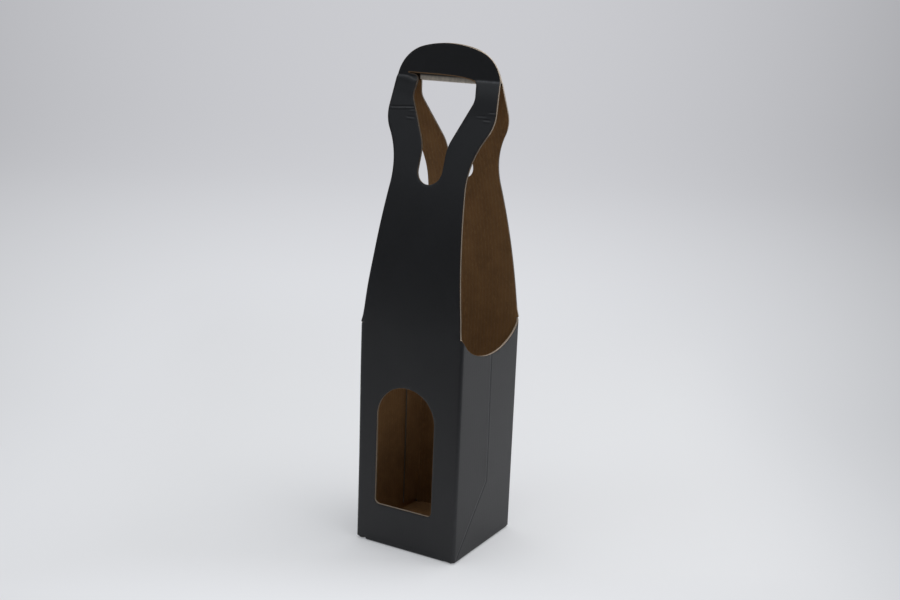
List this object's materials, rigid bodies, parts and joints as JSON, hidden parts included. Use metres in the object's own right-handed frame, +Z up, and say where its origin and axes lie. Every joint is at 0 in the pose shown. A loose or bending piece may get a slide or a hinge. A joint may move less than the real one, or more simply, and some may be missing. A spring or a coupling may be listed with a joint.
{
  "type": "bottle carrier",
  "caption": "Tall carrier folded from board for an upright bottle, with an arched window, scooped side walls, and front and back panels that meet in a rounded handle.",
  "frame": {"origin": "on the floor, in the middle of the base under the carrier", "axes": "+Z up along the carrier, +X to the right across the front panel, +Y from the front with the window to the back"},
  "size_m": [0.0978, 0.096, 0.4125],
  "materials": {
    "board": "matt black printed board with a raw kraft inside"
  },
  "bodies": {
    "root": {"carrier": "board"}
  },
  "joints": []
}
